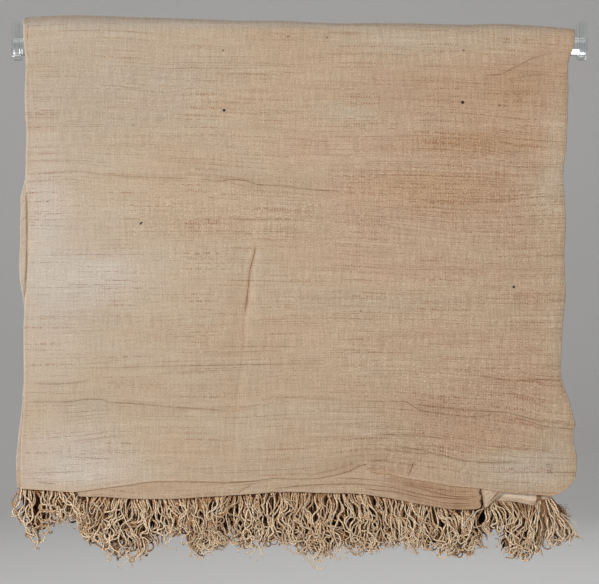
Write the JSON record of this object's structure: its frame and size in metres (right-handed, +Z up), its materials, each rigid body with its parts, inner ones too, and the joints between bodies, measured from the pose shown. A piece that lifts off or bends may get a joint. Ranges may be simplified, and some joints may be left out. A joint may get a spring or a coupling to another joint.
{
  "type": "folded linen cloth hanging on a clear rod with end brackets",
  "caption": "Folded natural linen cloth with a thick tangled fringe along its lower edge, hanging over a plain clear rod that rests in clear slotted end brackets.",
  "frame": {"origin": "the middle of the rod, on its axis", "axes": "+Z up, +X to the right along the rod, and the cloth's front faces -Y"},
  "size_m": [0.577, 0.0366, 0.5494],
  "materials": {
    "linen": "undyed hand-spun plain weave, matt, with faint brown streaks along the weft and small dark specks",
    "fringe_thread": "thick loosely plied linen thread, matt, tangled and curled",
    "clear_plastic": "clear acrylic, polished"
  },
  "bodies": {
    "root": {"cloth": "linen", "fringe": "fringe_thread", "rod": "clear_plastic", "bracket_left": "clear_plastic", "bracket_right": "clear_plastic"}
  },
  "joints": []
}
